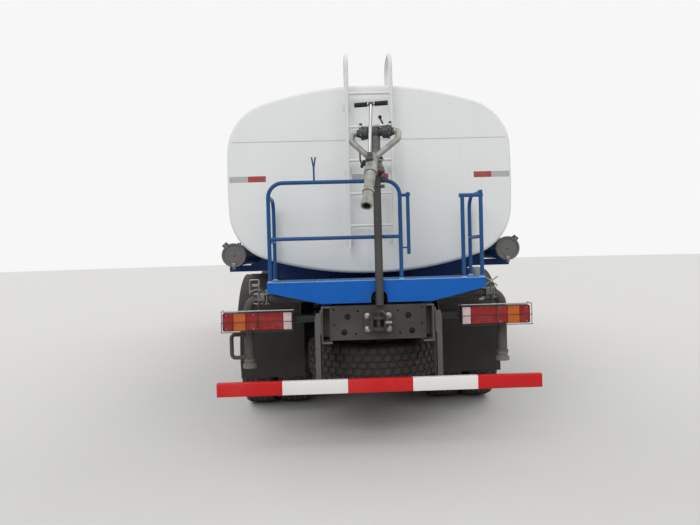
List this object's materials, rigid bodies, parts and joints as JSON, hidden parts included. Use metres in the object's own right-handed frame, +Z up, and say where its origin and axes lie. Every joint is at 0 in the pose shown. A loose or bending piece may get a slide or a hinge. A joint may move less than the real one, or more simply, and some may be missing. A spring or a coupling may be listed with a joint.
{
  "type": "water tanker truck",
  "caption": "Heavy cab-over water tanker truck with a rounded tank, rear work platform, water cannon, ladder, hose tubes and twin rear wheels.",
  "frame": {"origin": "on the ground, at the middle of the whole truck including the water cannon", "axes": "+Y forward, +X to the right, +Z up"},
  "size_m": [2.96, 9.5698, 3.146],
  "materials": {
    "aluminium": "brushed",
    "bar_paint": "satin",
    "black_plastic": "matt",
    "blue_paint": "satin",
    "cannon_metal": "cast",
    "cast_dark": "matt",
    "chassis_paint": "matt",
    "glass": "tinted",
    "grey_paint": "matt",
    "head_glass": "clear",
    "interior": "matt",
    "lamp_plastic": "gloss",
    "red_paint": "gloss",
    "rim_paint": "satin",
    "tyre": "matt",
    "white_paint": "satin"
  },
  "bodies": {
    "chassis": {"battery_and_air_tanks": "chassis_paint", "engine_and_shafts": "chassis_paint", "exhaust": "grey_paint", "frame_crossmembers": "chassis_paint", "frame_end_plate": "chassis_paint", "frame_rails": "chassis_paint", "front_axle": "chassis_paint", "front_brackets": "chassis_paint", "front_bumper": "red_paint", "fuel_tank": "aluminium", "headlamps": "head_glass", "hose_tubes": "blue_paint", "ladder": "white_paint", "lamp_guards": "chassis_paint", "leaf_springs": "chassis_paint", "platform_rails": "blue_paint", "rear_axles": "chassis_paint", "rear_mudguards": "black_plastic", "rear_platform": "blue_paint", "riser": "chassis_paint", "side_guards": "blue_paint", "spare_rim": "rim_paint", "spare_tyre": "tyre", "spray_outlets": "grey_paint", "spray_pipes": "grey_paint", "steps_and_mudguards": "black_plastic", "tail_lamps": "lamp_plastic", "tank": "white_paint", "tank_saddles": "blue_paint", "tank_top_fittings": "white_paint", "underrun_bar": "bar_paint"},
    "cab": {"cab_shell": "red_paint", "cab_glass": "glass", "cab_trim": "black_plastic", "cab_interior": "interior"},
    "door_left": {"door_left": "red_paint", "door_glass_left": "glass"},
    "door_right": {"door_right": "red_paint", "door_glass_right": "glass"},
    "knuckle_left": {"knuckle_left": "chassis_paint"},
    "knuckle_right": {"knuckle_right": "chassis_paint"},
    "wheel_front_left": {"front_rim_left": "rim_paint", "front_tyre_left": "tyre"},
    "wheel_front_right": {"front_rim_right": "rim_paint", "front_tyre_right": "tyre"},
    "wheel_middle_left": {"middle_rims_left": "rim_paint", "middle_tyres_left": "tyre"},
    "wheel_middle_right": {"middle_rims_right": "rim_paint", "middle_tyres_right": "tyre"},
    "wheel_rear_left": {"rear_rims_left": "rim_paint", "rear_tyres_left": "tyre"},
    "wheel_rear_right": {"rear_rims_right": "rim_paint", "rear_tyres_right": "tyre"},
    "tie_rod": {"tie_rod": "chassis_paint"},
    "manhole_lid": {"manhole_lid": "white_paint"},
    "hose_cap_left": {"hose_cap_left": "grey_paint"},
    "hose_cap_right": {"hose_cap_right": "grey_paint"},
    "cannon_head": {"cannon_head": "cast_dark"},
    "cannon_barrel": {"cannon_barrel": "cannon_metal"},
    "gate_bar": {"gate_bar": "blue_paint"}
  },
  "joints": [
    {"name": "cab_tilt", "type": "hinge", "parent": "chassis", "child": "cab", "pos_m": [0, 4.6036, 0.8], "axis": [-1, 0, 0], "range_deg": [0, 45]},
    {"name": "door_left_hinge", "type": "hinge", "parent": "cab", "child": "door_left", "pos_m": [-1.232, 4.4696, 1.56], "axis": [0, 0, -1], "range_deg": [0, 70]},
    {"name": "door_right_hinge", "type": "hinge", "parent": "cab", "child": "door_right", "pos_m": [1.232, 4.4696, 1.56], "axis": [0, 0, 1], "range_deg": [0, 70]},
    {"name": "steer_left", "type": "hinge", "parent": "chassis", "child": "knuckle_left", "pos_m": [-0.9, 3.2836, 0.561], "axis": [0, 0, 1], "range_deg": [-36, 36]},
    {"name": "steer_right", "type": "hinge", "parent": "chassis", "child": "knuckle_right", "pos_m": [0.9, 3.2836, 0.561], "axis": [0, 0, 1], "range_deg": [-36, 36]},
    {"name": "tie_rod_pin", "type": "hinge", "parent": "knuckle_left", "child": "tie_rod", "pos_m": [-0.82, 3.0636, 0.468], "axis": [0, 0, 1], "range_deg": [-40, 40]},
    {"name": "front_left_spin", "type": "hinge", "parent": "knuckle_left", "child": "wheel_front_left", "pos_m": [-1.011, 3.2836, 0.561], "axis": [1, 0, 0], "continuous": true},
    {"name": "front_right_spin", "type": "hinge", "parent": "knuckle_right", "child": "wheel_front_right", "pos_m": [1.011, 3.2836, 0.561], "axis": [1, 0, 0], "continuous": true},
    {"name": "middle_left_spin", "type": "hinge", "parent": "chassis", "child": "wheel_middle_left", "pos_m": [-0.915, -1.3164, 0.561], "axis": [1, 0, 0], "continuous": true},
    {"name": "middle_right_spin", "type": "hinge", "parent": "chassis", "child": "wheel_middle_right", "pos_m": [0.915, -1.3164, 0.561], "axis": [1, 0, 0], "continuous": true},
    {"name": "rear_left_spin", "type": "hinge", "parent": "chassis", "child": "wheel_rear_left", "pos_m": [-0.915, -2.6664, 0.561], "axis": [1, 0, 0], "continuous": true},
    {"name": "rear_right_spin", "type": "hinge", "parent": "chassis", "child": "wheel_rear_right", "pos_m": [0.915, -2.6664, 0.561], "axis": [1, 0, 0], "continuous": true},
    {"name": "manhole_lid_hinge", "type": "hinge", "parent": "chassis", "child": "manhole_lid", "pos_m": [0, -0.1264, 3.002], "axis": [-1, 0, 0], "range_deg": [0, 105]},
    {"name": "hose_cap_left_hinge", "type": "hinge", "parent": "chassis", "child": "hose_cap_left", "pos_m": [-1.22956, -3.7704, 1.59386], "axis": [-0.766, 0, -0.6428], "range_deg": [0, 100]},
    {"name": "hose_cap_right_hinge", "type": "hinge", "parent": "chassis", "child": "hose_cap_right", "pos_m": [1.22956, -3.7704, 1.59386], "axis": [-0.766, 0, 0.6428], "range_deg": [0, 100]},
    {"name": "cannon_swivel", "type": "hinge", "parent": "chassis", "child": "cannon_head", "pos_m": [0.016, -4.3304, 2.16], "axis": [0, 0, 1], "range_deg": [-55, 75]},
    {"name": "cannon_elevate", "type": "hinge", "parent": "cannon_head", "child": "cannon_barrel", "pos_m": [0.016, -4.3304, 2.39], "axis": [-0.9703, 0.2419, 0], "range_deg": [0, 100]},
    {"name": "gate_bar_swing", "type": "hinge", "parent": "chassis", "child": "gate_bar", "pos_m": [0.245, -4.3194, 1.925], "axis": [0, -1, 0], "range_deg": [0, 90]}
  ],
  "couplings": [
    {"joint": "steer_right", "follows": "steer_left", "ratio": 1},
    {"joint": "tie_rod_pin", "follows": "steer_left", "ratio": -1.0976}
  ]
}
